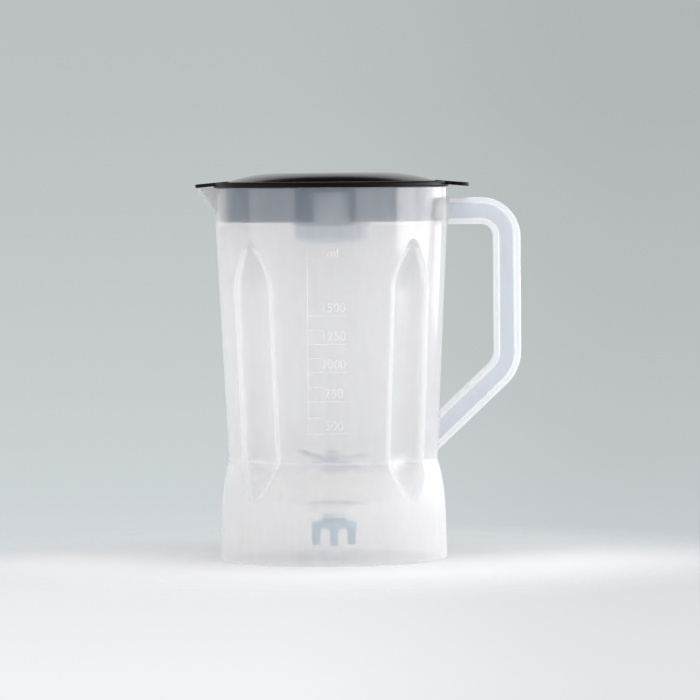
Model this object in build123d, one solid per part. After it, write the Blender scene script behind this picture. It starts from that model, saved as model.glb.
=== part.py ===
from build123d import *
import os
from math import acos, atan2, cos, degrees, hypot, radians, sin, sqrt, tan

os.makedirs("parts", exist_ok=True)

# A see-through moulded blender jar with its lid, filler cap, blades and drive coupling.
# Millimetres, +Z up, origin on the jar's axis at the foot. Handle towards +X, spout towards -X.

# Jar wall, on the outer skin
jar_height = 234.0
rim_radius = 72.8
rim_band = 24.0  # straight band under the rim
waist_height = 63.0
waist_radius = 65.6
waist_round = 4.0  # rounding of the crease at the waist
skirt_height = 31.0  # where the flare up to the waist begins
skirt_radius = 70.5
foot_radius = 71.3
wall = 2.4
seat_height = 7.0  # straight ring inside the foot that drops over a motor base
foot_round = 1.0
rim_round = 0.6

# Bowl floor
sump_height = 38.0  # inner face of the bowl's flat bottom
sump_radius = 24.0
floor_wall = 2.8

# Flutes pressed into the wall between the handle and the spout
flute_count = 4
flute_width = 29.0
flute_depth = 7.0
flute_top_gap = 8.0  # rim band down to the upper tip
flute_top_end = 33.0  # length of the pointed upper end
flute_foot_end = 27.0  # waist down to the lower tip
flute_foot_start = 5.0  # waist up to where the lower end begins to curl out
flute_top_angle = 8.0  # degrees between the flute's bottom and the skin at the upper tip
flute_foot_angle = 16.0  # degrees from the wall's line at the lower tip
flute_margin = 5.0  # how far the cutter stands out of the skin
flute_runout = 14.0  # how far the cutter goes on past each tip
flute_round = 1.8  # rounding of the flute's outer edge

# Handle, an I-section in one piece with the jar
handle_drop = 7.1  # rim down to the top arm
handle_reach = 45.8  # rim out to the grip's outer face
handle_band = 16.8
handle_depth = 21.0
handle_flange = 3.6
handle_web = 4.0
handle_round = 1.2
handle_corner = 16.2  # centreline radius at the upper corner
handle_elbow = 20.0  # centreline radius at the lower bend
handle_foot = 17.4  # waist up to the lower arm's middle on the wall
handle_lean = 46.7  # degrees of the lower arm from upright
handle_root = 9.0  # how far both arms run into the wall before the inside is cut

# Spout
spout_reach = 11.9
spout_depth = 17.0
spout_tip_radius = 5.0
spout_root_radius = 30.0
spout_wall = 2.0
spout_blend = 2.0  # rounding between the spout and the wall

# Lid
lid_gap = 0.4  # plug skirt inside the rim band
lid_wall = 2.2
brim_edge = 3.6
brim_fall = 0.4
brim_overhang = 1.2  # brim past the jar's rim
dome_height = 9.0  # rim up to the flat top
dome_flat_radius = 31.0
dome_foot_radius = 65.5
plug_depth = 21.6
window_width = 21.0
window_drop = 4.0  # rim down to the top of each window
plate_thickness = 2.3
plate_fall = 5.0  # degrees that the spout cover and the thumb tab lean down
lid_round = 0.7  # rounding of the brim's and the plates' edges
cover_overhang = 0.7  # spout cover past the spout
tab_reach = 13.9
tab_width = 34.0
tab_corner = 8.0
neck_depth = 24.0  # rim down to the neck's lower edge
neck_wall = 1.4

# Filler cap
cap_radius = 23.0
cap_gap = 0.4
cap_wall = 1.6
cap_flange_radius = 27.4
cap_flange = 2.0
cap_depth = 35.2  # rim down to the closed bottom
cap_chamfer_height = 2.8
cap_bottom_radius = 15.0

# Shaft and its bearings
shaft_radius = 4.0
spigot_radius = 3.0  # upper end that carries the blades
running_gap = 0.05
fit_gap = 0.02
end_float = 0.3
bush_wall = 2.5
bush_length = 8.0
seal_height = 4.0
shoulder_step = 1.2  # how far the housing's shoulders stand in behind the bushes

# Housing through the floor
column_height = 17.5  # sump floor up to the top of the column
column_radius = 10.0
column_chamfer = 1.2
flange_radius = 20.0
flange_thickness = 3.0
gasket_thickness = 1.5
stub_radius = 9.0
stub_drop = 10.0  # sump floor down to the housing's lower end
stub_gap = 0.3
nut_flats = 27.0
nut_thickness = 5.5
thrust_radius = 8.0
thrust_thickness = 1.0
clip_radius = 6.5
clip_thickness = 1.0
clip_groove = 0.8
clip_mouth = 5.0

# Blades
collar_radius = 7.0
collar_height = 4.0
blade_thickness = 1.5
blade_hub_radius = 8.5
blade_reach = 27.0
blade_root_width = 14.0
blade_tip_width = 6.0
blade_bend_start = 9.0
blade_bend_radius = 4.0
blade_grind = 1.1  # cut taken off the cutting edge
raised_wing_bend = 18.0  # degrees up, on one wing of the upper blade
level_wing_bend = 3.0  # degrees up, on its other wing
lower_wing_bend = -9.0  # degrees down, on both wings of the lower blade
upper_blade_turn = 40.0  # degrees round the shaft
lower_blade_turn = 130.0  # degrees round the shaft
spacer_radius = 6.0
spacer_height = 1.2
blade_nut_flats = 10.0
blade_nut_height = 4.0
thread_tail = 1.0

# Drive coupling
coupling_radius = 14.2
coupling_plate = 3.6
coupling_boss_radius = 9.5
coupling_boss_top_radius = 6.8
coupling_boss_height = 2.6
claw_count = 4
claw_width = 4.8
claw_length = 10.8
claw_ring = 5.6  # radial thickness of the claws
claw_arch_radius = 3.4
claw_taper = 3.0  # degrees

# Heights and radii that follow from the sizes above
band_height = jar_height - rim_band
wall_lean = (rim_radius - waist_radius) / (band_height - waist_height)
skirt_lean = (skirt_radius - foot_radius) / skirt_height
bore_radius = rim_radius - wall
plug_radius = bore_radius - lid_gap
brim_radius = rim_radius + brim_overhang
lid_top = jar_height + dome_height
brim_top = jar_height + brim_edge
neck_bore = cap_radius + cap_gap
neck_radius = neck_bore + neck_wall
seat_radius = cap_flange_radius + cap_gap
seat_top = lid_top - cap_flange
bush_radius = shaft_radius + running_gap + bush_wall
stub_end = sump_height - stub_drop
column_top = sump_height + column_height
clip_top = stub_end - end_float - thrust_thickness
coupling_top = clip_top - clip_thickness
collar_bottom = column_top + end_float
lower_blade_bottom = collar_bottom + collar_height
upper_blade_bottom = lower_blade_bottom + blade_thickness + spacer_height
blade_nut_bottom = upper_blade_bottom + blade_thickness


def turned(*edges):
    return revolve(Plane.XZ * make_face(list(edges)), Axis.Z)


def turned_outline(*points):
    return turned(*Polyline(*points, close=True).edges())


def ring(outer, inner, bottom, height):
    return turned_outline(
        (inner, bottom), (outer, bottom), (outer, bottom + height), (inner, bottom + height)
    )


def wall_radius(height):
    return waist_radius + wall_lean * (height - waist_height)


def flare(inset):
    # Arc that leaves the skirt smoothly and meets the wall in a crease at the waist
    start = (skirt_radius - inset, skirt_height)
    end = (waist_radius - inset, waist_height)
    return TangentArc(start, end, tangent=(skirt_lean, 1))


def level_edges(solid, height):
    slack = rim_round / 10
    return solid.edges().filter_by_position(Axis.Z, height - slack, height + slack)


def rounded_corner(profile, corner, radius):
    return fillet(profile.vertices().sort_by_distance(corner)[0], radius)


def outer_body():
    profile = make_face(
        [
            Line((0, jar_height), (0, 0)),
            Line((0, 0), (foot_radius, 0)),
            Line((foot_radius, 0), (skirt_radius, skirt_height)),
            flare(0),
            Line((waist_radius, waist_height), (rim_radius, band_height)),
            Line((rim_radius, band_height), (rim_radius, jar_height)),
            Line((rim_radius, jar_height), (0, jar_height)),
        ]
    )
    profile = rounded_corner(profile, (waist_radius, waist_height), waist_round)
    profile = rounded_corner(profile, (foot_radius, 0), foot_round)
    return revolve(Plane.XZ * profile, Axis.Z)


def bowl_arc(sink):
    # Inner face of the bowl, or with a sink the face that runs that far below it
    run = waist_radius - wall - sump_radius
    rise = waist_height - sump_height
    radius = (run**2 + rise**2) / (2 * rise)
    sweep_angle = 2 * degrees(atan2(rise, run))
    return JernArc((sump_radius, sump_height - sink), (1, 0), radius + sink, sweep_angle)


def jar_inside():
    waist = (waist_radius - wall, waist_height)
    return turned(
        Line((0, jar_height), (0, sump_height)),
        Line((0, sump_height), (sump_radius, sump_height)),
        bowl_arc(0),
        Line(waist, (bore_radius, band_height)),
        Line((bore_radius, band_height), (bore_radius, jar_height)),
        Line((bore_radius, jar_height), (0, jar_height)),
    )


def skirt_inside():
    seat = foot_radius - wall
    waist = (waist_radius - wall, waist_height)
    space = turned(
        Line((0, waist_height), (0, 0)),
        Line((0, 0), (seat, 0)),
        Line((seat, 0), (seat, seat_height)),
        Line((seat, seat_height), (skirt_radius - wall, skirt_height)),
        flare(wall),
        Line(waist, (0, waist_height)),
    )
    under = bowl_arc(floor_wall)
    top = Vector(0, jar_height)
    bowl = turned(
        Line(top, (0, sump_height - floor_wall)),
        Line((0, sump_height - floor_wall), (sump_radius, sump_height - floor_wall)),
        under,
        Line(under @ 1, (under @ 1).X * Vector(1, 0) + top),
        Line((under @ 1).X * Vector(1, 0) + top, top),
    )
    return space - bowl


def curl_out(start, heading, tip, exit_angle, side):
    # Two like arcs from a start on a heading to a tip, crossing it at the exit angle, and a straight runout
    reach = tip - start
    run = reach.dot(heading)
    rise = sqrt(reach.length**2 - run**2)
    leave = radians(exit_angle)
    share = ((1 + cos(leave)) * run + sin(leave) * rise) / (2 * hypot(run, rise))
    turn = atan2(rise, run) + acos(share)
    radius = run / (2 * sin(turn) - sin(leave))
    first = JernArc(start, heading, radius, side * degrees(turn))
    second = JernArc(first @ 1, first % 1, radius, side * degrees(leave - turn))
    return [first.edge(), second.edge(), Line(second @ 1, second @ 1 + second % 1 * flute_runout).edge()]


def flute_cutter(grow):
    # A round-bottomed cutter that follows the wall and curls out of it at both ends
    up = Vector(wall_lean, 1).normalized()
    low_height = waist_height + flute_foot_start
    low = Vector(wall_radius(low_height) - flute_depth, low_height)
    top_height = band_height - flute_top_gap
    high = low + up * (top_height - flute_top_end - low_height)
    top_tip = Vector(wall_radius(top_height), top_height)
    foot_tip = Vector(skirt_radius, waist_height - flute_foot_end)
    top_curl = curl_out(high, up, top_tip, flute_top_angle, -1)
    foot_curl = curl_out(low, -up, foot_tip, flute_foot_angle, 1)
    path = Plane.XZ * Wire([*reversed(foot_curl), Line(low, high).edge(), *top_curl])
    half = flute_width / 2
    crown = waist_radius - sqrt(waist_radius**2 - half**2)
    deep = flute_depth - crown
    radius = (half**2 + deep**2) / (2 * deep)
    reach = flute_depth + flute_margin
    slab = Pos((reach - grow) / 2, 0) * Rectangle(reach + grow, 2 * (radius + grow))
    section = slab & (Pos(radius, 0) * Circle(radius + grow))
    start = path @ 0
    along = path % 0
    outward = along.cross(Vector(0, 1, 0))
    if outward.X < 0:
        outward = -outward
    return sweep(Plane(start, x_dir=outward, z_dir=along) * section, path)


def flutes(grow):
    cutter = flute_cutter(grow)
    step = 360 / flute_count
    return [Rot(0, 0, step * (index + 0.5)) * cutter for index in range(flute_count)]


def handle():
    arm = jar_height - handle_drop - handle_band / 2
    grip = rim_radius + handle_reach - handle_band / 2
    foot_height = waist_height + handle_foot
    foot = Vector(wall_radius(foot_height), foot_height)
    rise = Vector(tan(radians(handle_lean)), 1)
    elbow = foot + rise * ((grip - foot.X) / rise.X)
    path = Plane.XZ * FilletPolyline(
        (rim_radius - handle_root, arm),
        (grip, arm),
        elbow,
        foot - rise.normalized() * handle_root,
        radius=[handle_corner, handle_elbow],
    )
    pocket = Rectangle(handle_band - 2 * handle_flange, (handle_depth - handle_web) / 2)
    shift = (handle_depth + handle_web) / 4
    section = Rectangle(handle_band, handle_depth) - Pos(0, shift) * pocket - Pos(0, -shift) * pocket
    section = fillet(section.vertices(), handle_round)
    return sweep(Plane(path @ 0, x_dir=(0, 0, 1), z_dir=path % 0) * section, path)


def spout_plan(inset, drop):
    # A round tip joined by tangent sides to a wide circle inside the rim; it draws in lower down
    share = drop / spout_depth
    tip_radius = spout_tip_radius - inset
    root_radius = spout_root_radius * (1 - share / 2) - inset
    tip = rim_radius + spout_reach * (1 - share) - share * spout_wall - inset - tip_radius
    root = rim_radius - spout_root_radius * (1 - share / 2)
    circles = Pos(-tip, 0) * Circle(tip_radius) + Pos(-root, 0) * Circle(root_radius)
    return make_hull(circles.edges())


def spout(inset):
    levels = [Pos(0, 0, jar_height - drop) * spout_plan(inset, drop) for drop in (spout_depth, 0)]
    return loft(levels, ruled=True)


def outer_form():
    trunk = outer_body()
    lip = spout(0)
    lipped = trunk + lip
    lipped = fillet(new_edges(trunk, lip, combined=lipped), spout_blend)
    cutters = flutes(0)
    fluted = lipped - cutters
    return fillet(new_edges(lipped, *cutters, combined=fluted), flute_round) + handle()


def jar():
    inside = jar_inside() + spout(spout_wall)
    inside = inside - flutes(wall)
    under = skirt_inside() - flutes(wall)
    hole = Pos(0, 0, sump_height) * Cylinder(stub_radius + stub_gap, 4 * floor_wall)
    body = outer_form() - inside - under - hole
    return fillet(level_edges(body, jar_height), rim_round)


def rounded_plate(plan):
    plate = extrude(plan, plate_thickness)
    return fillet(level_edges(plate, 0) + level_edges(plate, plate_thickness), lid_round)


def lid():
    plug_foot = jar_height - plug_depth
    neck_foot = jar_height - neck_depth
    under_brim = brim_top - lid_wall
    under_seat = seat_top - lid_wall
    boss_radius = seat_radius + lid_wall
    shell = turned(
        Line((seat_radius, lid_top), (dome_flat_radius, lid_top)),
        TangentArc((dome_flat_radius, lid_top), (dome_foot_radius, brim_top), tangent=(1, 0)),
        Line((dome_foot_radius, brim_top), (brim_radius, brim_top - brim_fall)),
        Polyline((brim_radius, brim_top - brim_fall), (brim_radius, jar_height), (plug_radius, jar_height)),
        Polyline((plug_radius, jar_height), (plug_radius, plug_foot), (plug_radius - lid_wall, plug_foot)),
        Polyline(
            (plug_radius - lid_wall, plug_foot),
            (plug_radius - lid_wall, under_brim),
            (dome_foot_radius, under_brim),
        ),
        TangentArc((dome_flat_radius, lid_top - lid_wall), (dome_foot_radius, under_brim), tangent=(1, 0)),
        Polyline(
            (dome_flat_radius, lid_top - lid_wall),
            (boss_radius, lid_top - lid_wall),
            (boss_radius, under_seat),
            (neck_radius, under_seat),
            (neck_radius, neck_foot),
            (neck_bore, neck_foot),
            (neck_bore, seat_top),
            (seat_radius, seat_top),
            (seat_radius, lid_top),
        ),
    )
    round_edges = shell.edges().filter_by(GeomType.CIRCLE)
    brim = [edge for edge in round_edges if edge.radius > (brim_radius + plug_radius) / 2]
    shell = fillet(brim, lid_round)
    window = Box(window_width, 4 * plug_radius, plug_depth - window_drop)
    top_of_window = jar_height - window_drop
    gap = Pos(0, 0, top_of_window - (plug_depth - window_drop) / 2) * window
    keep = Cylinder(neck_radius + lid_wall, 4 * jar_height)
    shell = shell - (gap - keep)
    inner = Cylinder(plug_radius - lid_wall, 4 * jar_height)
    cover = spout_plan(-cover_overhang, 0)
    tab = RectangleRounded(2 * (tab_reach + tab_corner), tab_width, tab_corner)
    hinge = rim_radius - wall
    cover_plane = Pos(-hinge, 0, brim_top - plate_thickness) * Rot(0, -plate_fall, 0)
    tab_plane = Pos(hinge, 0, brim_top - plate_thickness) * Rot(0, plate_fall, 0)
    cover_plate = cover_plane * rounded_plate(Pos(hinge, 0) * cover)
    tab_plate = tab_plane * rounded_plate(Pos(rim_radius - hinge - tab_corner, 0) * tab)
    return shell + (cover_plate - inner) + (tab_plate - inner)


def filler_cap():
    bottom = jar_height - cap_depth
    shoulder = bottom + cap_chamfer_height
    return turned_outline(
        (0, bottom),
        (cap_bottom_radius, bottom),
        (cap_radius, shoulder),
        (cap_radius, seat_top),
        (cap_flange_radius, seat_top),
        (cap_flange_radius, lid_top),
        (cap_radius - cap_wall, lid_top),
        (cap_radius - cap_wall, shoulder + cap_wall / 2),
        (cap_bottom_radius - cap_wall / 2, bottom + cap_wall),
        (0, bottom + cap_wall),
    )


def bearing_housing():
    gasket_top = sump_height + gasket_thickness
    flange_top = gasket_top + flange_thickness
    upper_seat = column_top - seal_height - bush_length
    lower_seat = stub_end + bush_length
    inner = bush_radius - shoulder_step
    return turned_outline(
        (bush_radius, stub_end),
        (stub_radius, stub_end),
        (stub_radius, gasket_top),
        (flange_radius, gasket_top),
        (flange_radius, flange_top),
        (column_radius, flange_top),
        (column_radius, column_top - column_chamfer),
        (column_radius - column_chamfer, column_top),
        (bush_radius, column_top),
        (bush_radius, upper_seat),
        (inner, upper_seat),
        (inner, lower_seat),
        (bush_radius, lower_seat),
    )


def housing_nut():
    bottom = sump_height - floor_wall - nut_thickness
    body = Pos(0, 0, bottom) * extrude(RegularPolygon(nut_flats / 2, 6, major_radius=False), nut_thickness)
    return body - Pos(0, 0, bottom) * Cylinder(stub_radius + fit_gap, 3 * nut_thickness)


def shaft():
    bottom = coupling_top - coupling_boss_height - coupling_plate
    groove = shaft_radius - clip_groove
    top = blade_nut_bottom + blade_nut_height - thread_tail
    return turned_outline(
        (0, bottom),
        (spigot_radius, bottom),
        (spigot_radius, coupling_top),
        (groove, coupling_top),
        (groove, clip_top),
        (shaft_radius, clip_top),
        (shaft_radius, collar_bottom),
        (spigot_radius, collar_bottom),
        (spigot_radius, top),
        (0, top),
    )


def retaining_clip():
    inner = shaft_radius - clip_groove + fit_gap
    body = ring(clip_radius, inner, coupling_top, clip_thickness)
    mouth = Pos(clip_radius, 0, coupling_top) * Box(2 * clip_radius, clip_mouth, 3 * clip_thickness)
    return body - mouth


def blade(bottom, first_bend, second_bend, turn):
    # A flat pressed hub with two wings bent out of its plane, each ground along its leading edge
    end = blade_reach + 2 * blade_thickness
    first_rise, second_rise = [
        tan(radians(bend)) * (end - blade_bend_start) for bend in (first_bend, second_bend)
    ]
    middle = blade_thickness / 2
    path = Plane.XZ * FilletPolyline(
        (-end, middle + first_rise),
        (-blade_bend_start, middle),
        (blade_bend_start, middle),
        (end, middle + second_rise),
        radius=blade_bend_radius,
    )
    section = Rectangle(2 * blade_root_width, blade_thickness)
    across = Plane(path @ 0, x_dir=(0, 1, 0), z_dir=path % 0)
    strip = sweep(across * section, path)
    half_root = blade_root_width / 2
    cutting_edge = ThreePointArc(
        (0, half_root), (blade_reach * 0.6, half_root * 0.75), (blade_reach, half_root - blade_tip_width)
    )
    wing = make_face(
        [
            cutting_edge,
            Line(cutting_edge @ 1, (blade_reach - blade_tip_width / 2, -half_root)),
            Line((blade_reach - blade_tip_width / 2, -half_root), (0, -half_root)),
            Line((0, -half_root), (0, half_root)),
        ]
    )
    plan = Circle(blade_hub_radius) + wing + Rot(0, 0, 180) * wing - Circle(spigot_radius + fit_gap)
    tall = 4 * max(abs(first_rise), abs(second_rise)) + 4 * blade_thickness
    prism = Pos(0, 0, -tall / 2) * extrude(plan, tall)
    body = strip & prism
    wing_edges = body.edges().filter_by(GeomType.ELLIPSE).sort_by(Axis.Z)
    first_edges = [edge for edge in wing_edges if edge.center().X < 0]
    second_edges = [edge for edge in wing_edges if edge.center().X > 0]
    ground = chamfer([first_edges[-1], second_edges[-1]], blade_grind)
    return Pos(0, 0, bottom) * Rot(0, 0, turn) * ground


def blade_nut():
    body = extrude(RegularPolygon(blade_nut_flats / 2, 6, major_radius=False), blade_nut_height)
    dome = turned_outline(
        (0, 0),
        (blade_nut_flats, 0),
        (blade_nut_flats / 2, blade_nut_height),
        (0, blade_nut_height),
    )
    hole = Pos(0, 0, blade_nut_height / 2 - thread_tail) * Cylinder(spigot_radius + fit_gap, blade_nut_height)
    return Pos(0, 0, blade_nut_bottom) * ((body & dome) - hole)


def drive_coupling():
    plate_top = coupling_top - coupling_boss_height
    plate_bottom = plate_top - coupling_plate
    claw_foot = plate_bottom - claw_length
    claw_inner = coupling_radius - claw_ring
    draft = claw_length * tan(radians(claw_taper))
    plate = turned_outline(
        (spigot_radius + fit_gap, plate_bottom),
        (coupling_radius, plate_bottom),
        (coupling_radius, plate_top),
        (coupling_boss_radius, plate_top),
        (coupling_boss_top_radius, coupling_top),
        (spigot_radius + fit_gap, coupling_top),
    )
    skirt = turned_outline(
        (claw_inner, plate_bottom),
        (claw_inner + draft, claw_foot),
        (coupling_radius - draft, claw_foot),
        (coupling_radius, plate_bottom),
    )
    # Seen from outside, a claw is a straight stem that spreads in two quarter rounds up to the plate
    stem = Pos(0, -claw_length / 2) * Rectangle(claw_width, claw_length)
    root_width = claw_width + 2 * claw_arch_radius
    root = Pos(0, -claw_arch_radius / 2) * Rectangle(root_width, claw_arch_radius)
    rounds = [Pos(side * root_width / 2, -claw_arch_radius) * Circle(claw_arch_radius) for side in (-1, 1)]
    bar = Pos(0, 0, plate_bottom) * extrude(Plane.YZ * (stem + root - rounds), 2 * coupling_radius)
    claws = [skirt & (Rot(0, 0, 360 / claw_count * index) * bar) for index in range(claw_count)]
    return plate + claws


def write(node, solid):
    export_step(solid, os.path.join("parts", node + ".step"))


shaft_bore = shaft_radius + running_gap
gasket_hole = stub_radius + stub_gap

write("jar", jar())
write("lid", lid())
write("filler_cap", filler_cap())
write("bearing_housing", bearing_housing())
write("housing_gasket", ring(flange_radius, gasket_hole, sump_height, gasket_thickness))
write("housing_nut", housing_nut())
write("upper_bush", ring(bush_radius, shaft_bore, column_top - seal_height - bush_length, bush_length))
write("lower_bush", ring(bush_radius, shaft_bore, stub_end, bush_length))
write("shaft_seal", ring(bush_radius, shaft_bore, column_top - seal_height, seal_height))
write("shaft", shaft())
write("thrust_washer", ring(thrust_radius, shaft_radius + fit_gap, clip_top, thrust_thickness))
write("retaining_clip", retaining_clip())
write("blade_collar", ring(collar_radius, spigot_radius + fit_gap, collar_bottom, collar_height))
write("lower_blade", blade(lower_blade_bottom, lower_wing_bend, lower_wing_bend, lower_blade_turn))
spacer_bottom = lower_blade_bottom + blade_thickness
write("blade_spacer", ring(spacer_radius, spigot_radius + fit_gap, spacer_bottom, spacer_height))
write("upper_blade", blade(upper_blade_bottom, raised_wing_bend, level_wing_bend, upper_blade_turn))
write("blade_nut", blade_nut())
write("drive_coupling", drive_coupling())
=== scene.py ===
import bpy
import bmesh
import math
import numpy as np
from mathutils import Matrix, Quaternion, Vector


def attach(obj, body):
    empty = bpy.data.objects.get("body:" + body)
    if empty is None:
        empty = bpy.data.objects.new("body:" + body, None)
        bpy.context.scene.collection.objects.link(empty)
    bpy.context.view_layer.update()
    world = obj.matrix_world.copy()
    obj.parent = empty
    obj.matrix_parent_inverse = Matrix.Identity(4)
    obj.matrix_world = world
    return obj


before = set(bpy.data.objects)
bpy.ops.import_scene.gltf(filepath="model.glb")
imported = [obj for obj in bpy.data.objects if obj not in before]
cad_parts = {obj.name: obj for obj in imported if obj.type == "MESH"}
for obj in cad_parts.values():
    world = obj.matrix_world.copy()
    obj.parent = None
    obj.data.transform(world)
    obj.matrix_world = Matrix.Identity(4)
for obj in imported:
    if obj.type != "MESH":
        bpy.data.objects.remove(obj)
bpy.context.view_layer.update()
mm = 0.001
print("frame loaded:", len(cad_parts), "nodes")


class Shade:
    # one socket of a material or world; + - * ** on it add Math nodes

    def __init__(self, tree, socket=None):
        self.tree = tree
        self.socket = socket

    def make(self, kind, settings=None, links=None, out=0):
        # any node: its settings first, then the values or links of its sockets
        node = self.tree.nodes.new(kind)
        for name, value in (settings or {}).items():
            if name == "stops":
                setStops(node.color_ramp, value)
            else:
                setattr(node, name, value)
        for name, value in (links or {}).items():
            if isinstance(value, Shade):
                self.tree.links.new(value.socket, node.inputs[name])
            else:
                node.inputs[name].default_value = value
        return Shade(self.tree, node.outputs[out]) if node.outputs else None

    def calc(self, operation, first, second):
        return self.make("ShaderNodeMath", {"operation": operation}, {0: first, 1: second})

    def __add__(self, other):
        return self.calc("ADD", self, other)

    def __sub__(self, other):
        return self.calc("SUBTRACT", self, other)

    def __rsub__(self, other):
        return self.calc("SUBTRACT", other, self)

    def __mul__(self, other):
        return self.calc("MULTIPLY", self, other)

    def __pow__(self, other):
        return self.calc("POWER", self, other)

    __radd__ = __add__
    __rmul__ = __mul__


def setStops(ramp, stops):
    # first and last stop exist already, the rest are added
    for place, colour in stops[1:-1]:
        ramp.elements.new(place).color = (*colour, 1)
    ends = ramp.elements[0], ramp.elements[-1]
    for element, (place, colour) in zip(ends, (stops[0], stops[-1])):
        element.position = place
        element.color = (*colour, 1)


def newMaterial(name):
    material = bpy.data.materials.new(name)
    material.use_nodes = True
    material.node_tree.nodes.clear()
    return material, Shade(material.node_tree)


def output(sh, surface, kind="Material"):
    sh.make("ShaderNodeOutput" + kind, links={"Surface": surface})


def objectCoords(sh):
    return sh.make("ShaderNodeTexCoord", out="Object")


def stretched(sh, coords, scale, turn=0.0):
    return sh.make("ShaderNodeMapping", links={
        "Vector": coords, "Scale": scale, "Rotation": (0, 0, turn)})


def noise(sh, coords, size, detail=2.0, rough=0.5):
    # cloudy noise about 0.5, its blobs about as large as size in metres
    return sh.make("ShaderNodeTexNoise", links={
        "Vector": coords, "Scale": 1 / size, "Detail": detail, "Roughness": rough})


def between(sh, value, low, high, outLow=0.0, outHigh=1.0):
    # value from low to high becomes outLow to outHigh, eased at both ends
    return sh.make("ShaderNodeMapRange", {"interpolation_type": "SMOOTHSTEP"}, {
        "Value": value, "From Min": low, "From Max": high, "To Min": outLow, "To Max": outHigh})


def tint(sh, share, first, second):
    # first and second are colours, or sockets that give one; 6, 7 and output 2 are the node's colours
    first, second = [c if isinstance(c, Shade) else (*c, 1) for c in (first, second)]
    return sh.make("ShaderNodeMix", {"data_type": "RGBA"}, {
        "Factor": share, 6: first, 7: second}, out=2)


def bump(sh, height, depth, strength=0.5):
    return sh.make("ShaderNodeBump", links={
        "Height": height, "Distance": depth, "Strength": strength})


def mixed(sh, share, first, second):
    return sh.make("ShaderNodeMixShader", links={0: share, 1: first, 2: second})


def principled(sh, **links):
    return sh.make("ShaderNodeBsdfPrincipled", links={
        name.replace("_", " "): value for name, value in links.items()})


def seeThrough(sh, colour=(1, 1, 1)):
    return sh.make("ShaderNodeBsdfTransparent", links={"Color": (*colour, 1)})


def axes(sh, coords):
    return [sh.make("ShaderNodeSeparateXYZ", links={"Vector": coords}, out=name) for name in "XYZ"]


def absolute(sh, value):
    return sh.make("ShaderNodeMath", {"operation": "ABSOLUTE"}, {0: value})


def length(sh, vector):
    return sh.make("ShaderNodeVectorMath", {"operation": "LENGTH"}, {0: vector}, out="Value")


def fromAxis(sh, coords):
    flat = sh.make("ShaderNodeVectorMath", {"operation": "MULTIPLY"}, {0: coords, 1: (1, 1, 0)})
    return length(sh, flat)


# Milky see-through plastic

jarLook = {
    "clear": (1.0, 0.945, 0.905),      # tint of what shows straight through, short of some blue
    "glow": (0.935, 0.975, 1.0),       # light sent on softly, with that blue in it
    "milk": (0.66, 0.81, 1.0),         # light sent back
    "skirtClear": (1.0, 0.990, 0.984),  # tint of what shows straight through the skirt
    "skirt": (0.986, 0.990, 1.0),      # light sent on and back in the skirt
    "web": (0.77, 0.865, 1.0),         # the same, in the handle's web
    "deep": (0.965, 0.972, 0.985),     # the same, where the haze is deep
    "haze": 0.40,                      # share of a face that isn't straight see-through
    "hazeDeep": 0.50,                  # added where it is deep
    "hazeSkirt": -0.04,                # added in the skirt
    "hazeWeb": -0.04,                  # added in the handle's web
    "deepEdge": 0.8,                   # deep where the wall is seen along its length
    "deepPower": 3,                    # how near to edge-on that begins
    "deepFlange": 0.30,                # deep in the handle's flanges
    "rimHazeAndHighlight": 1.0,                    # deeper haze in the flutes' rounded rims: partly thicker plastic, partly a painted highlight
    "waistHazeAndHighlight": 0.45,                 # deeper haze in the line round the waist: partly thicker plastic, partly a painted highlight
    "milkShare": 0.25,                 # of the haze, the part that sends light back
    "skirtMilkShare": 0.50,
    "deepMilkShare": 0.35,
    "hasZones": True,                  # handle, flutes, waist and skirt differ from the wall
    "cloudSize": 24 * mm,
    "cloudDepth": 0.07,                # how far the haze wanders
    "flowsPerCloud": 3,                # upright flow marks across one cloud
    "flowStretch": (1, 1, 0.2),
    "grainSize": 1.1 * mm,
    "grainDepth": 0.02 * mm,
    "cloudBump": 3,                    # height of the clouds beside the grain's
    "gloss": 0.04,                     # share of gloss seen face-on
    "glossEdge": 0.55,                 # added edge-on
    "glossPower": 4,
    "glossSkirt": 0.45,                # share of the gloss that the skirt's satin finish keeps
    "rough": 0.14,
    "roughSkirt": 0.22,                # added in the skirt
    "roughGrain": 0.08,                # how far the grain and the flow marks vary it
    "roughFlow": 0.10,
}
capLook = dict(
    jarLook, clear=(0.82, 0.865, 0.885), glow=(0.73, 0.80, 0.845), milk=(0.60, 0.70, 0.79),
    deep=(0.80, 0.85, 0.89), haze=0.55, hazeDeep=0.2, hasZones=False, cloudSize=12 * mm)
markLook = dict(
    jarLook, clear=(1.0, 1.0, 1.0), glow=(0.985, 0.985, 0.985), milk=(0.985, 0.985, 0.985),
    haze=0.22, hazeDeep=0.1, milkShare=0.9, deepMilkShare=0.9, hasZones=False, cloudSize=4 * mm)

wallForm = {
    "waistHeight": 63.0 * mm, "waistRadius": 65.6 * mm,
    "bandHeight": 210.0 * mm, "rimRadius": 72.8 * mm,
    "fluteHalf": 14.8 * mm,                  # middle of a flute to its rim
    "fluteTop": (169.0 * mm, 202.0 * mm),    # where its upper end begins to rise, and its tip
    "fluteFoot": (68.0 * mm, 36.0 * mm),     # the same for the lower end
    "fluteFade": (0.02, 0.12),               # share of its depth at which its rims begin, and are full
    "rimBreadth": (0.9 * mm, 3.4 * mm),      # full and least painted highlight, from a rim's line
    "waistBreadth": (0.3 * mm, 1.5 * mm),    # the same, from the waist's line
    "skirtFrom": (76.0 * mm, 44.0 * mm),     # where the skirt's haze begins, and is full
    "handleOut": 1.5 * mm,                   # until the handle's mask is full: out from the wall
    "handleUp": 2.0 * mm,                    # and up from the waist
    "webHalf": (3.0 * mm, 5.0 * mm),         # all web and no web, from the handle's middle plane
}
wallLean = (wallForm["rimRadius"] - wallForm["waistRadius"]) / (
    wallForm["bandHeight"] - wallForm["waistHeight"])


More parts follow.
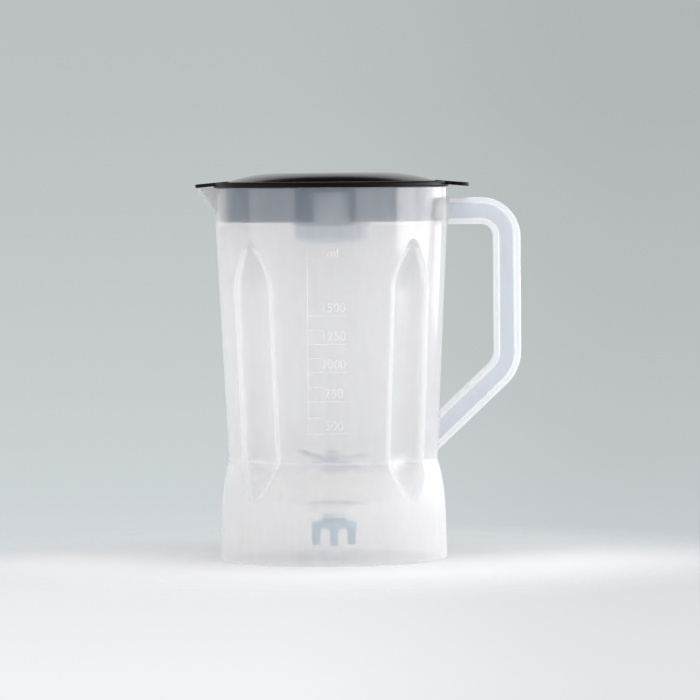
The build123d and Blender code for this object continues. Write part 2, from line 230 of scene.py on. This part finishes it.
def handleMask(sh, coords):
    # 1 outside the wall's cone on the handle's side
    x, _, z = axes(sh, coords)
    waist = wallForm["waistHeight"]
    foot = wallForm["waistRadius"] - wallLean * waist
    away = between(sh, x - wallLean * z, foot, foot + wallForm["handleOut"])
    return away * between(sh, z, waist, waist + wallForm["handleUp"])


def middleMask(sh, coords):
    # 1 near the handle's middle plane, where its web is
    return between(sh, absolute(sh, axes(sh, coords)[1]), *wallForm["webHalf"], 1.0, 0.0)


def rimHazeAndHighlightMask(sh, coords):
    # 1 on the flutes' rims, whose deeper haze is partly thicker plastic and partly a painted highlight:
    # a flute lies at 45 degrees in each quarter, so the distance from its middle is (|x| - |y|) / sqrt
    # 2; its half width falls as the root of its depth, eased out at both ends
    x, y, z = axes(sh, coords)
    across = absolute(sh, absolute(sh, x) - absolute(sh, y)) * math.sqrt(0.5)
    above = between(sh, z, *wallForm["fluteTop"], 1.0, 0.0)
    depth = above * between(sh, z, *wallForm["fluteFoot"], 1.0, 0.0)
    apart = absolute(sh, across - depth ** 0.5 * wallForm["fluteHalf"])
    line = between(sh, apart, *wallForm["rimBreadth"], 1.0, 0.0)
    return line * between(sh, depth, *wallForm["fluteFade"])


def waistHazeAndHighlightMask(sh, coords):
    # 1 on the line round the waist, whose deeper haze is partly thicker plastic and partly a painted
    # highlight
    apart = absolute(sh, axes(sh, coords)[2] - wallForm["waistHeight"])
    return between(sh, apart, *wallForm["waistBreadth"], 1.0, 0.0)


def skirtMask(sh, coords):
    # 1 in the skirt, below the flare
    return between(sh, axes(sh, coords)[2], *wallForm["skirtFrom"])


def hazeLayer(sh, onward, back, share):
    glow = sh.make("ShaderNodeBsdfTranslucent", links={"Color": (*onward, 1)})
    milk = sh.make("ShaderNodeBsdfDiffuse", links={"Color": (*back, 1)})
    return mixed(sh, share, glow, milk)


def milkyPlastic(name, look):
    # each face: partly see-through, the rest haze that sends light on and back, and gloss over both
    material, sh = newMaterial(name)
    coords = objectCoords(sh)
    cloud = noise(sh, coords, look["cloudSize"], detail=3.0)
    upright = stretched(sh, coords, look["flowStretch"])
    flow = noise(sh, upright, look["cloudSize"] / look["flowsPerCloud"])
    grain = noise(sh, coords, look["grainSize"])
    facing = sh.make("ShaderNodeLayerWeight", links={"Blend": 0.5}, out="Facing")
    deep = facing ** look["deepPower"] * look["deepEdge"]
    layer = hazeLayer(sh, look["glow"], look["milk"], look["milkShare"])
    clear = seeThrough(sh, look["clear"])
    haze = look["haze"] + (cloud + flow - 1.0) * look["cloudDepth"]
    rough = look["rough"] + (grain - 0.5) * look["roughGrain"] + (flow - 0.5) * look["roughFlow"]
    shine = look["gloss"] + facing ** look["glossPower"] * look["glossEdge"]
    if look["hasZones"]:
        handle = handleMask(sh, coords)
        web = handle * middleMask(sh, coords)
        below = skirtMask(sh, coords)
        # flanges and rims get deeper haze; on the rims it is partly thicker plastic, partly a painted
        # highlight
        deep = deep + (handle - web) * look["deepFlange"] + rimHazeAndHighlightMask(sh, coords) * look["rimHazeAndHighlight"]
        # the waist line too: partly thicker plastic, partly a painted highlight
        deep = deep + waistHazeAndHighlightMask(sh, coords) * look["waistHazeAndHighlight"]
        skirtLayer = hazeLayer(sh, look["skirt"], look["skirt"], look["skirtMilkShare"])
        webLayer = hazeLayer(sh, look["web"], look["web"], look["milkShare"])
        layer = mixed(sh, web, mixed(sh, below, layer, skirtLayer), webLayer)
        clear = mixed(sh, below, clear, seeThrough(sh, look["skirtClear"]))
        haze = haze + below * look["hazeSkirt"] + web * look["hazeWeb"]
        rough = rough + below * look["roughSkirt"]
        shine = shine * (1 - below * (1 - look["glossSkirt"]))
    deep = sh.make("ShaderNodeClamp", links={"Value": deep})
    haze = haze + deep * look["hazeDeep"]
    deepLayer = hazeLayer(sh, look["deep"], look["deep"], look["deepMilkShare"])
    body = mixed(sh, haze, clear, mixed(sh, deep, layer, deepLayer))
    gloss = sh.make("ShaderNodeBsdfGlossy", links={
        "Color": (1, 1, 1, 1), "Roughness": rough,
        "Normal": bump(sh, grain + cloud * look["cloudBump"], look["grainDepth"])})
    output(sh, mixed(sh, shine, body, gloss))
    return material


# Other moulded plastics, rubber and metals

moulding = {
    "cloudSize": 14 * mm,
    "cloudBump": 2,                    # height of the clouds beside the grain's
    "scuffSize": 3 * mm,
    "scuffStretch": (1, 6, 1),
    "scuffTurn": 0.6,
    "scuffFrom": (0.58, 0.72),         # noise at which a scuff begins, and is full
    "roughGrain": 0.14,                # how far the grain and the scuffs vary the roughness
    "roughScuff": 0.10,
    "bumpStrength": 0.6,
    "mattRough": 0.3,                  # added where a moulding is matt
    "mattShine": 0.12,                 # specular level there
    "mattEase": 1.5 * mm,
}
lidLook = {
    "dark": (0.0015, 0.0012, 0.0013), "light": (0.004, 0.0033, 0.0034),
    "rough": 0.13, "grainSize": 1.6 * mm, "grainDepth": 0.012 * mm,
    "mattBeyond": 65.0 * mm,           # distance from the axis
}
housingLook = {
    "dark": (0.90, 0.91, 0.92), "light": (0.94, 0.95, 0.955),
    "rough": 0.42, "grainSize": 0.5 * mm, "grainDepth": 0.02 * mm,
    "mattBeyond": None,
}
couplingLook = dict(housingLook, dark=(0.05, 0.30, 0.48), light=(0.08, 0.38, 0.57), rough=0.40)


def mouldedPlastic(name, look):
    # colour wanders between dark and light with the flow of the moulding; spark-eroded grain; scuffs
    material, sh = newMaterial(name)
    coords = objectCoords(sh)
    cloud = noise(sh, coords, moulding["cloudSize"], detail=3.0)
    grain = noise(sh, coords, look["grainSize"], detail=3.0, rough=0.6)
    drawn = stretched(sh, coords, moulding["scuffStretch"], moulding["scuffTurn"])
    scuff = noise(sh, drawn, moulding["scuffSize"], detail=4.0, rough=0.7)
    scuff = between(sh, scuff, *moulding["scuffFrom"])
    rough = look["rough"] + (grain - 0.5) * moulding["roughGrain"] + scuff * moulding["roughScuff"]
    colour = tint(sh, cloud, look["dark"], look["light"])
    height = grain + cloud * moulding["cloudBump"]
    normal = bump(sh, height, look["grainDepth"], moulding["bumpStrength"])
    surface = principled(sh, Base_Color=colour, Roughness=rough, Normal=normal)
    edge = look["mattBeyond"]
    if edge:
        matt = principled(
            sh, Base_Color=colour, Roughness=rough + moulding["mattRough"], Normal=normal,
            Specular_IOR_Level=moulding["mattShine"])
        share = between(sh, fromAxis(sh, coords), edge, edge + moulding["mattEase"])
        surface = mixed(sh, share, surface, matt)
    output(sh, surface)
    return material


rubberLook = {
    "dark": (0.70, 0.70, 0.69), "light": (0.78, 0.78, 0.76), "cloudSize": 5 * mm,
    "rough": 0.62, "roughGrain": 0.2, "grainSize": 0.35 * mm, "grainDepth": 0.03 * mm,
}


def softRubber(name, look):
    material, sh = newMaterial(name)
    coords = objectCoords(sh)
    cloud = noise(sh, coords, look["cloudSize"], detail=3.0)
    grain = noise(sh, coords, look["grainSize"])
    output(sh, principled(
        sh, Base_Color=tint(sh, cloud, look["dark"], look["light"]),
        Roughness=look["rough"] + (grain - 0.5) * look["roughGrain"],
        Normal=bump(sh, grain, look["grainDepth"])))
    return material


bronzeLook = {
    "pore": (0.24, 0.15, 0.07), "metal": (0.60, 0.41, 0.20), "oilSize": 4 * mm,
    "rough": 0.34, "roughOil": 0.16, "poreSize": 0.35 * mm, "poreDepth": 0.02 * mm,
    "poreEdge": (0.05, 0.35),          # from a pore's middle, as a share of its size
}


def sinteredBronze(name, look):
    material, sh = newMaterial(name)
    coords = objectCoords(sh)
    pores = sh.make("ShaderNodeTexVoronoi", links={
        "Vector": coords, "Scale": 1 / look["poreSize"]}, out="Distance")
    oil = noise(sh, coords, look["oilSize"])
    output(sh, principled(
        sh, Base_Color=tint(sh, between(sh, pores, *look["poreEdge"]), look["pore"], look["metal"]),
        Metallic=1.0, Roughness=look["rough"] + oil * look["roughOil"],
        Normal=bump(sh, pores, look["poreDepth"])))
    return material


bladeLook = {
    "dark": (0.34, 0.42, 0.50), "light": (0.45, 0.53, 0.61), "cloudSize": 9 * mm,
    "rough": 0.22, "roughLine": 0.16, "roughCloud": 0.06,
    "lineSize": 0.25 * mm, "lineStretch": (0.04, 1, 1), "lineDepth": 0.012 * mm,
    "upperTurn": math.radians(40), "lowerTurn": math.radians(130),
}


def brushedSteel(name, look, turn):
    # brush lines run along the blade, which stands at turn round the shaft
    material, sh = newMaterial(name)
    coords = objectCoords(sh)
    drawn = stretched(sh, coords, look["lineStretch"], turn)
    lines = noise(sh, drawn, look["lineSize"], detail=3.0, rough=0.6)
    cloud = noise(sh, coords, look["cloudSize"], detail=3.0)
    output(sh, principled(
        sh, Base_Color=tint(sh, cloud, look["dark"], look["light"]), Metallic=1.0,
        Roughness=look["rough"] + lines * look["roughLine"] + (cloud - 0.5) * look["roughCloud"],
        Normal=bump(sh, lines, look["lineDepth"])))
    return material


turnedLook = {
    "dark": (0.52, 0.53, 0.54), "light": (0.68, 0.69, 0.70), "cloudSize": 6 * mm,
    "rough": 0.20, "roughLine": 0.18, "lineSize": 0.18 * mm, "lineDepth": 0.01 * mm,
}


def turnedSteel(name, look):
    # fine tool rings: the noise reads the distance from the shaft's axis and the height only
    material, sh = newMaterial(name)
    coords = objectCoords(sh)
    height = axes(sh, coords)[2]
    rings = sh.make("ShaderNodeCombineXYZ", links={"X": fromAxis(sh, coords), "Y": height})
    lines = noise(sh, rings, look["lineSize"])
    cloud = noise(sh, coords, look["cloudSize"])
    output(sh, principled(
        sh, Base_Color=tint(sh, cloud, look["dark"], look["light"]), Metallic=1.0,
        Roughness=look["rough"] + lines * look["roughLine"],
        Normal=bump(sh, lines, look["lineDepth"])))
    return material


def dressNodes():
    finishes = {
        "jar": milkyPlastic("milkyJar", jarLook),
        "filler_cap": milkyPlastic("milkyCap", capLook),
        "lid": mouldedPlastic("blackLid", lidLook),
        "bearing_housing": mouldedPlastic("paleHousing", housingLook),
        "drive_coupling": mouldedPlastic("blueCoupling", couplingLook),
        "housing_gasket": softRubber("paleRubber", rubberLook),
        "upper_bush": sinteredBronze("bushBronze", bronzeLook),
        "shaft": turnedSteel("turnedSteel", turnedLook),
        "upper_blade": brushedSteel("upperBladeSteel", bladeLook, bladeLook["upperTurn"]),
        "lower_blade": brushedSteel("lowerBladeSteel", bladeLook, bladeLook["lowerTurn"]),
    }
    sameAs = {
        "housing_nut": "bearing_housing", "shaft_seal": "housing_gasket", "lower_bush": "upper_bush",
        "thrust_washer": "shaft", "retaining_clip": "shaft", "blade_collar": "shaft",
        "blade_spacer": "shaft", "blade_nut": "shaft",
    }
    for node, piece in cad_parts.items():
        piece.material_slots[0].material = finishes[sameAs.get(node, node)]
    print("finishes made:", len(finishes))


# Raised capacity marks on the front wall, in millimetres

marks = {
    "numbers": {"1500": 157.4, "1250": 139.8, "1000": 122.4, "750": 104.3, "500": 84.3},
    "unit": ("ml", 191.0),
    "textHeight": 5.6,
    "textScale": 1.4,          # font size for a number of height 1
    "textBevel": 0.05,
    "textAcross": 1.0,         # middle of the numbers, right of the jar's front line
    "lineAcross": -15.0,       # upright line at the left of the scale
    "lineSpan": (82.0, 197.0),
    "longTick": (-15.0, 10.0),
    "shortTick": (-15.0, -6.0),
    "tickDrop": 2.4,           # tick below the number it carries
    "halfWidth": 0.35,
    "proud": 0.30,
    "sunk": 0.08,
    "lineSteps": 60,
    "tickSteps": 24,
    "beadSides": 10,
    "beadEnds": 8,             # the higher, the blunter a bead's ends
}


def wallPoint(across, height, proud):
    # the wall is a cone: the radius grows evenly with the height, across is an arc from the front line
    radius = wallForm["waistRadius"] + wallLean * (height - wallForm["waistHeight"]) + proud
    turn = across / radius
    return np.stack([radius * np.sin(turn), -radius * np.cos(turn), height], axis=-1)


def raisedLine(start, end, steps):
    # half-round bead from start to end: an ellipse of half width and proud height carried along the
    # line, narrowing to nothing at both ends as the square root of 1 - t**8, with t from -1 to 1
    sides, count = marks["beadSides"], steps - 1
    t = np.linspace(-1, 1, steps + 1)[1:-1, None]
    a = np.linspace(0, 2 * np.pi, sides, endpoint=False)[None, :]
    narrow = np.sqrt(1 - t ** marks["beadEnds"])
    run = np.array(end) - np.array(start)
    run = run / np.linalg.norm(run)
    middle = [(s + e) / 2 + t * (e - s) / 2 for s, e in zip(start, end)]
    side = marks["halfWidth"] * narrow * np.cos(a)
    rise = marks["proud"] * narrow * np.sin(a)
    across = middle[0] - side * run[1]
    height = middle[1] + side * run[0]
    rings = wallPoint(across * mm, height * mm, rise * mm).reshape(-1, 3)
    tips = wallPoint(*np.array([start, end]).T * mm, np.zeros(2))
    ids = np.arange(count * sides).reshape(count, sides)
    turned = np.roll(ids, -1, axis=1)
    quads = np.stack([ids[:-1], turned[:-1], turned[1:], ids[1:]], axis=-1).reshape(-1, 4)
    firstTip = np.full(sides, count * sides)
    capOne = np.stack([turned[0], ids[0], firstTip], axis=-1)
    capTwo = np.stack([ids[-1], turned[-1], firstTip + 1], axis=-1)
    mesh = bpy.data.meshes.new("bead")
    mesh.from_pydata(
        np.vstack([rings, tips]).tolist(), [], quads.tolist() + capOne.tolist() + capTwo.tolist())
    return mesh


def raisedText(words, across, height):
    # flat lettering made a mesh, then bent onto the wall: x becomes the arc, y the height, z the rise
    curve = bpy.data.curves.new("words", "FONT")
    curve.body = words
    curve.size = marks["textHeight"] * marks["textScale"] * mm
    curve.align_x = "CENTER"
    curve.extrude = (marks["proud"] + marks["sunk"]) / 2 * mm
    curve.bevel_depth = marks["textBevel"] * mm
    holder = bpy.data.objects.new("words", curve)
    bpy.context.collection.objects.link(holder)
    bpy.context.view_layer.update()
    mesh = bpy.data.meshes.new_from_object(
        holder.evaluated_get(bpy.context.evaluated_depsgraph_get()))
    bpy.data.objects.remove(holder)
    flat = np.empty(len(mesh.vertices) * 3)
    mesh.vertices.foreach_get("co", flat)
    x, y, z = flat.reshape(-1, 3).T
    rise = z + (marks["proud"] - marks["sunk"]) / 2 * mm
    mesh.vertices.foreach_set("co", wallPoint(x + across * mm, y + height * mm, rise).ravel())
    return mesh


def tick(span, height):
    level = height - marks["tickDrop"]
    return raisedLine((span[0], level), (span[1], level), marks["tickSteps"])


def capacityMarks():
    across, (low, high) = marks["lineAcross"], marks["lineSpan"]
    meshes = [raisedLine((across, low), (across, high), marks["lineSteps"])]
    heights = list(marks["numbers"].values())
    for words, height in marks["numbers"].items():
        meshes.append(raisedText(words, marks["textAcross"], height))
        meshes.append(tick(marks["longTick"], height))
    for upper, lower in zip(heights, heights[1:]):
        meshes.append(tick(marks["shortTick"], (upper + lower) / 2))
    meshes.append(raisedText(marks["unit"][0], marks["textAcross"], marks["unit"][1]))
    joined = bmesh.new()
    for mesh in meshes:
        joined.from_mesh(mesh)
        bpy.data.meshes.remove(mesh)
    bmesh.ops.recalc_face_normals(joined, faces=joined.faces)
    mesh = bpy.data.meshes.new("capacity_marks")
    joined.to_mesh(mesh)
    joined.free()
    piece = bpy.data.objects.new("capacity_marks", mesh)
    bpy.context.collection.objects.link(piece)
    mesh.materials.append(milkyPlastic("milkyMarks", markLook))
    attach(piece, "jar_body")
    print("capacity marks:", len(mesh.polygons), "faces")


# Studio: floor, background, lamps and camera

floorLook = {
    "radius": 0.6,
    "rings": 24,
    "sides": 96,
    # front is the floor's colour near the jar, back that colour darkened by painted shade
    "front": (0.84, 0.842, 0.848),
    "back": (0.62, 0.645, 0.665),
    "turn": (-0.06, 0.14),     # Y from which, and to which, painted shade darkens it towards the background
    "fade": (0.12, 0.34),      # distance from the jar at which it begins to fade, and is gone
    "rough": 0.85,
    "shine": 0.15,
}


def buildFloor():
    # disc: radius times cosine and sine of the angle on a grid of radius and angle
    rings, sides = floorLook["rings"], floorLook["sides"]
    radius = np.linspace(0, 1, rings + 1)[1:, None] * floorLook["radius"]
    angle = np.linspace(0, 2 * np.pi, sides, endpoint=False)[None, :]
    level = np.zeros((rings, sides))
    grid = np.stack([radius * np.cos(angle), radius * np.sin(angle), level], axis=-1)
    verts = np.vstack([grid.reshape(-1, 3), np.zeros((1, 3))])
    ids = np.arange(rings * sides).reshape(rings, sides)
    turned = np.roll(ids, -1, axis=1)
    quads = np.stack([ids[:-1], ids[1:], turned[1:], turned[:-1]], axis=-1).reshape(-1, 4)
    hub = np.stack([ids[0], turned[0], np.full(sides, rings * sides)], axis=-1)
    mesh = bpy.data.meshes.new("floor")
    mesh.from_pydata(verts.tolist(), [], quads.tolist() + hub.tolist())
    floor = bpy.data.objects.new("floor", mesh)
    bpy.context.collection.objects.link(floor)
    material, sh = newMaterial("paleFloor")
    coords = objectCoords(sh)
    fade = between(sh, length(sh, coords), *floorLook["fade"])
    # painted shade: the floor's colour darkens from front to back
    depth = between(sh, axes(sh, coords)[1], *floorLook["turn"])
    paint = principled(
        sh, Base_Color=tint(sh, depth, floorLook["front"], floorLook["back"]),
        Roughness=floorLook["rough"], Specular_IOR_Level=floorLook["shine"])
    output(sh, mixed(sh, fade, paint, seeThrough(sh)))
    mesh.materials.append(material)


studio = {
    "ambient": (0.50, 0.503, 0.506),
    "ambientBelow": (1.62, 1.62, 1.62),    # light off the floor further out than the disc
    "ambientTurn": (-0.06, 0.0),           # elevation's sine at which one gives way to the other
    # background by the sine of the view's elevation, from the floor's colour up to the wall's
    "background": [
        (-0.100, (0.887, 0.896, 0.913)),
        (-0.0826, (0.830, 0.847, 0.871)),
        (-0.0767, (0.700, 0.738, 0.768)),
        (-0.0728, (0.651, 0.686, 0.716)),
        (-0.065, (0.615, 0.660, 0.680)),
        (-0.0355, (0.565, 0.604, 0.604)),
        (0.0137, (0.503, 0.539, 0.539)),
        (0.30, (0.40, 0.42, 0.42)),
    ],
    "rightShare": 0.88,            # the background is this much dimmer at the right
    "rightTurn": (-0.02, 0.06),    # direction's X between which it dims
    # what mirrors show of it: dark high up, and all dark in front of the jar, behind the camera
    "mirror": [
        (-0.100, (0.80, 0.80, 0.81)),
        (-0.0355, (0.56, 0.59, 0.59)),
        (0.08, (0.60, 0.62, 0.62)),
        (0.20, (0.58, 0.60, 0.60)),
        (0.36, (0.50, 0.51, 0.51)),
        (0.43, (0.03, 0.03, 0.03)),
        (0.48, (0.005, 0.005, 0.005)),
    ],
    "dark": (0.01, 0.01, 0.01),
    "darkTurn": (-0.35, 0.0),      # direction's Y at which it is all dark, and where that begins
    "skyRange": (-0.12, 0.50),     # elevation's sine at both ends of the two ramps
}


def skyRamp(sh, height, stops):
    low, high = studio["skyRange"]
    place = sh.make("ShaderNodeMapRange", links={"Value": height, "From Min": low, "From Max": high})
    places = [((sine - low) / (high - low), colour) for sine, colour in stops]
    return sh.make("ShaderNodeValToRGB", {"stops": places}, {"Fac": place})


def backdrop(sh, colour, strength=1.0):
    return sh.make("ShaderNodeBackground", links={"Color": colour, "Strength": strength})


def buildWorld():
    # straight or through the plastic: the pale background; in a mirror: the mirror ramp, dark in front;
    # for lighting: an even ambient
    world = bpy.data.worlds.new("studio")
    world.use_nodes = True
    world.node_tree.nodes.clear()
    sh = Shade(world.node_tree)
    across, depth, height = axes(sh, sh.make("ShaderNodeTexCoord", out="Generated"))
    above = between(sh, height, *studio["ambientTurn"])
    front = between(sh, depth, *studio["darkTurn"], 1.0, 0.0) * above
    shown = skyRamp(sh, height, studio["background"])
    seen = mixed(
        sh, between(sh, across, *studio["rightTurn"]),
        backdrop(sh, shown), backdrop(sh, shown, studio["rightShare"]))
    mirror = backdrop(sh, tint(sh, front, skyRamp(sh, height, studio["mirror"]), studio["dark"]))
    light = backdrop(sh, tint(sh, above, studio["ambientBelow"], studio["ambient"]))
    path = "ShaderNodeLightPath"
    through = sh.make(path, out="Is Transmission Ray") * (1 - sh.make(path, out="Is Diffuse Ray"))
    straight = sh.make("ShaderNodeClamp", links={
        "Value": sh.make(path, out="Is Camera Ray") + through})
    lit = mixed(sh, sh.make(path, out="Is Glossy Ray"), light, mirror)
    output(sh, mixed(sh, straight, lit, seen), "World")
    bpy.context.scene.world = world


lamps = {
    "overhead": {"place": (0.05, -0.20, 1.60), "aim": (0, 0, 0.1), "size": (1.3, 1.1), "watts": 14.8},
    "right": {"place": (1.23, -0.24, 0.20), "aim": (0, 0, 0.2), "size": (0.53, 0.26), "watts": 2.9},
    "rightBack": {"place": (1.13, 0.53, 0.20), "aim": (0, 0, 0.2), "size": (1.11, 0.26), "watts": 4.6},
    "rightFront": {"place": (1.20, -1.20, 0.20), "aim": (0, 0, 0.2), "size": (1.24, 0.26), "watts": 2.3},
    "left": {"place": (-1.22, -0.68, 0.20), "aim": (0, 0, 0.2), "size": (1.36, 0.26), "watts": 2.0},
    "backLeft": {"place": (-1.1, 1.2, 0.6), "aim": (0, 0, 0.14), "size": (0.8, 0.9), "watts": 1.5},
    "backRight": {"place": (0.9, 1.5, 0.6), "aim": (0, 0, 0.14), "size": (0.8, 0.9), "watts": 4.0},
}


def aimed(place, aim):
    return (Vector(aim) - Vector(place)).to_track_quat("-Z", "Y")


def buildLamps():
    for name, lamp in lamps.items():
        data = bpy.data.lights.new(name, "AREA")
        data.shape = "RECTANGLE"
        data.size, data.size_y = lamp["size"]
        data.energy = lamp["watts"]
        holder = bpy.data.objects.new(name, data)
        holder.location = lamp["place"]
        holder.rotation_euler = aimed(lamp["place"], lamp["aim"]).to_euler()
        bpy.context.collection.objects.link(holder)


view = {
    "place": (0.0111, -3.2, 0.245),
    "aim": (0.0111, 0.0, 0.1313),
    "lens": 261.4,
    "sensor": 36.0,
    "roll": -0.5,              # degrees
    "clip": (0.1, 20),
}


def buildCamera():
    data = bpy.data.cameras.new("camera")
    data.lens = view["lens"]
    data.sensor_width = view["sensor"]
    data.clip_start, data.clip_end = view["clip"]
    camera = bpy.data.objects.new("camera", data)
    camera.location = view["place"]
    roll = Quaternion((0, 0, 1), math.radians(view["roll"]))
    camera.rotation_euler = (aimed(view["place"], view["aim"]) @ roll).to_euler()
    bpy.context.collection.objects.link(camera)
    bpy.context.scene.camera = camera


dressNodes()
capacityMarks()
buildFloor()
buildWorld()
buildLamps()
buildCamera()
bpy.context.scene.view_settings.view_transform = "Standard"
print("studio built")
